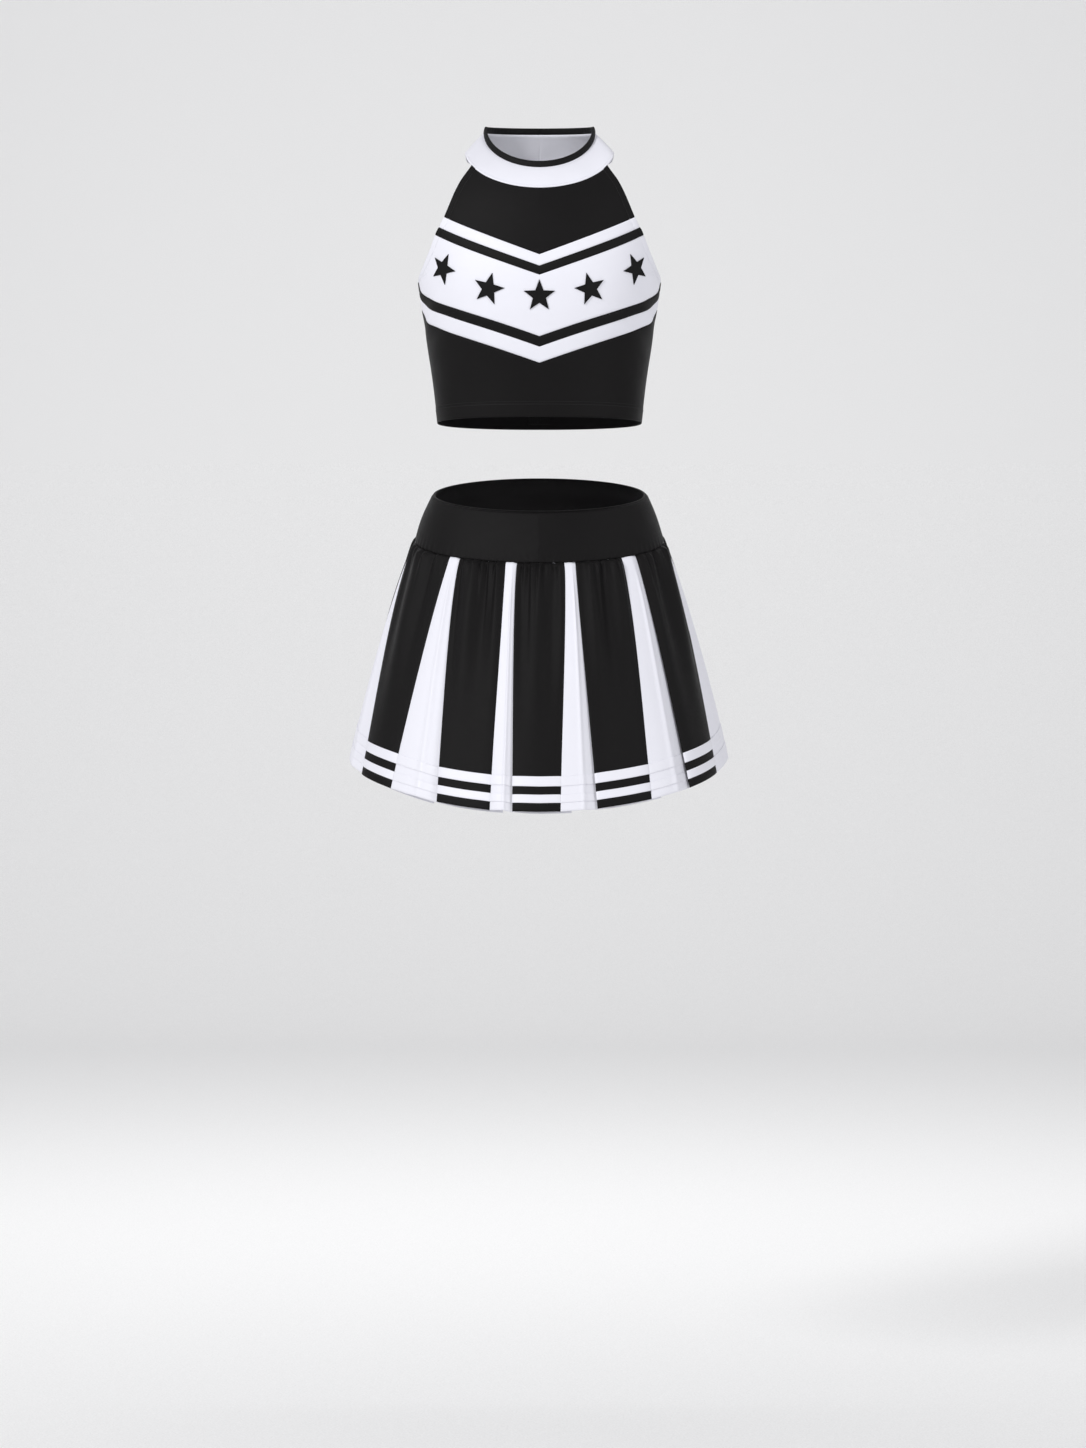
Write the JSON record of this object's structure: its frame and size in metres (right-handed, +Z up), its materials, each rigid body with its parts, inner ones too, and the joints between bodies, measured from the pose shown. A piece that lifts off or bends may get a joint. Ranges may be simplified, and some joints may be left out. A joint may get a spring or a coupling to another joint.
{
  "type": "cheer uniform",
  "caption": "Halter crop top with chevron panels, star trim and a centre-back zip, and a gathered pleated skirt on a knit waistband.",
  "frame": {"origin": "centre of the skirt's top opening, on the wearer's own upright axis", "axes": "+Z up along the wearer, -Y the way the wearer faces, +X the wearer's left"},
  "size_m": [0.4462, 0.3824, 0.8241],
  "materials": {
    "black_knit": "matte black polyester knit",
    "white_satin": "white satin-faced polyester",
    "black_braid": "black woven braid and binding",
    "elastic": "woven elastic",
    "button_plastic": "glossy black button",
    "zip_metal": "black enamelled zinc"
  },
  "bodies": {
    "skirt_band": {"waistband": "black_knit", "waist_elastic": "elastic", "waistband_facing": "black_knit"},
    "crop_top": {"front_body": "black_knit", "front_lower_white_stripe": "white_satin", "front_lower_black_braid": "black_braid", "front_chest": "white_satin", "front_upper_black_braid": "black_braid", "front_upper_white_stripe": "white_satin", "front_yoke": "black_knit", "back_left_body": "black_knit", "back_left_lower_white_stripe": "white_satin", "back_left_lower_black_braid": "black_braid", "back_left_chest": "white_satin", "back_left_yoke": "black_knit", "armhole_facing_left": "black_knit", "zip_tape_left": "black_braid", "back_right_body": "black_knit", "back_right_lower_white_stripe": "white_satin", "back_right_lower_black_braid": "black_braid", "back_right_chest": "white_satin", "back_right_yoke": "black_knit", "armhole_facing_right": "black_knit", "zip_tape_right": "black_braid", "collar_band": "white_satin", "neck_binding": "black_braid", "zip_bottom_stop": "zip_metal", "collar_button": "button_plastic", "collar_loop": "elastic", "star_1": "black_braid", "star_2": "black_braid", "star_3": "black_braid", "star_4": "black_braid", "star_5": "black_braid"},
    "zip_slider": {"zip_slider": "zip_metal"},
    "zip_pull": {"zip_pull": "zip_metal"},
    "pleat_01": {"pleat_01_black": "black_knit", "pleat_01_white": "white_satin"},
    "pleat_02": {"pleat_02_black": "black_knit", "pleat_02_white": "white_satin"},
    "pleat_03": {"pleat_03_black": "black_knit", "pleat_03_white": "white_satin"},
    "pleat_04": {"pleat_04_black": "black_knit", "pleat_04_white": "white_satin"},
    "pleat_05": {"pleat_05_black": "black_knit", "pleat_05_white": "white_satin"},
    "pleat_06": {"pleat_06_black": "black_knit", "pleat_06_white": "white_satin"},
    "pleat_07": {"pleat_07_black": "black_knit", "pleat_07_white": "white_satin"},
    "pleat_08": {"pleat_08_black": "black_knit", "pleat_08_white": "white_satin"},
    "pleat_09": {"pleat_09_black": "black_knit", "pleat_09_white": "white_satin"},
    "pleat_10": {"pleat_10_black": "black_knit", "pleat_10_white": "white_satin"},
    "pleat_11": {"pleat_11_black": "black_knit", "pleat_11_white": "white_satin"},
    "pleat_12": {"pleat_12_black": "black_knit", "pleat_12_white": "white_satin"}
  },
  "joints": [
    {"name": "top_lift", "type": "slide", "parent": "skirt_band", "child": "crop_top", "axis": [0, 0, 1], "range_m": [0, 0.4]},
    {"name": "zip_slide", "type": "slide", "parent": "crop_top", "child": "zip_slider", "axis": [0, 0, 1], "range_m": [-0.266, 0]},
    {"name": "zip_pull_swing", "type": "hinge", "parent": "zip_slider", "child": "zip_pull", "pos_m": [0, 0.0967, 0.3676], "axis": [1, 0, 0], "range_deg": [0, 120]},
    {"name": "pleat_01_flare", "type": "hinge", "parent": "skirt_band", "child": "pleat_01", "pos_m": [0, -0.11059, -0.08661], "axis": [-1, 0, 0], "range_deg": [0, 25]},
    {"name": "pleat_02_flare", "type": "hinge", "parent": "skirt_band", "child": "pleat_02", "pos_m": [0.0663, -0.09824, -0.08317], "axis": [-0.9269, -0.3616, -0.1003], "range_deg": [0, 25]},
    {"name": "pleat_03_flare", "type": "hinge", "parent": "skirt_band", "child": "pleat_03", "pos_m": [0.12092, -0.06017, -0.07258], "axis": [-0.6387, -0.7415, -0.2056], "range_deg": [0, 25]},
    {"name": "pleat_04_flare", "type": "hinge", "parent": "skirt_band", "child": "pleat_04", "pos_m": [0.14386, 0.00006, -0.0558], "axis": [0, -0.9637, -0.2669], "range_deg": [0, 25]},
    {"name": "pleat_05_flare", "type": "hinge", "parent": "skirt_band", "child": "pleat_05", "pos_m": [0.12087, 0.06023, -0.03901], "axis": [0.6387, -0.7416, -0.2052], "range_deg": [0, 25]},
    {"name": "pleat_06_flare", "type": "hinge", "parent": "skirt_band", "child": "pleat_06", "pos_m": [0.06626, 0.09826, -0.02843], "axis": [0.9269, -0.3617, -0.1], "range_deg": [0, 25]},
    {"name": "pleat_07_flare", "type": "hinge", "parent": "skirt_band", "child": "pleat_07", "pos_m": [0, 0.11059, -0.025], "axis": [1, 0, 0], "range_deg": [0, 25]},
    {"name": "pleat_08_flare", "type": "hinge", "parent": "skirt_band", "child": "pleat_08", "pos_m": [-0.06626, 0.09826, -0.02843], "axis": [0.9269, 0.3617, 0.1], "range_deg": [0, 25]},
    {"name": "pleat_09_flare", "type": "hinge", "parent": "skirt_band", "child": "pleat_09", "pos_m": [-0.12087, 0.06023, -0.03901], "axis": [0.6387, 0.7416, 0.2052], "range_deg": [0, 25]},
    {"name": "pleat_10_flare", "type": "hinge", "parent": "skirt_band", "child": "pleat_10", "pos_m": [-0.14386, 0.00006, -0.0558], "axis": [0, 0.9637, 0.2669], "range_deg": [0, 25]},
    {"name": "pleat_11_flare", "type": "hinge", "parent": "skirt_band", "child": "pleat_11", "pos_m": [-0.12092, -0.06017, -0.07258], "axis": [-0.6387, 0.7415, 0.2056], "range_deg": [0, 25]},
    {"name": "pleat_12_flare", "type": "hinge", "parent": "skirt_band", "child": "pleat_12", "pos_m": [-0.0663, -0.09824, -0.08317], "axis": [-0.9269, 0.3616, 0.1003], "range_deg": [0, 25]}
  ],
  "couplings": [
    {"joint": "pleat_02_flare", "follows": "pleat_01_flare", "ratio": 1},
    {"joint": "pleat_03_flare", "follows": "pleat_01_flare", "ratio": 1},
    {"joint": "pleat_04_flare", "follows": "pleat_01_flare", "ratio": 1},
    {"joint": "pleat_05_flare", "follows": "pleat_01_flare", "ratio": 1},
    {"joint": "pleat_06_flare", "follows": "pleat_01_flare", "ratio": 1},
    {"joint": "pleat_07_flare", "follows": "pleat_01_flare", "ratio": 1},
    {"joint": "pleat_08_flare", "follows": "pleat_01_flare", "ratio": 1},
    {"joint": "pleat_09_flare", "follows": "pleat_01_flare", "ratio": 1},
    {"joint": "pleat_10_flare", "follows": "pleat_01_flare", "ratio": 1},
    {"joint": "pleat_11_flare", "follows": "pleat_01_flare", "ratio": 1},
    {"joint": "pleat_12_flare", "follows": "pleat_01_flare", "ratio": 1}
  ]
}
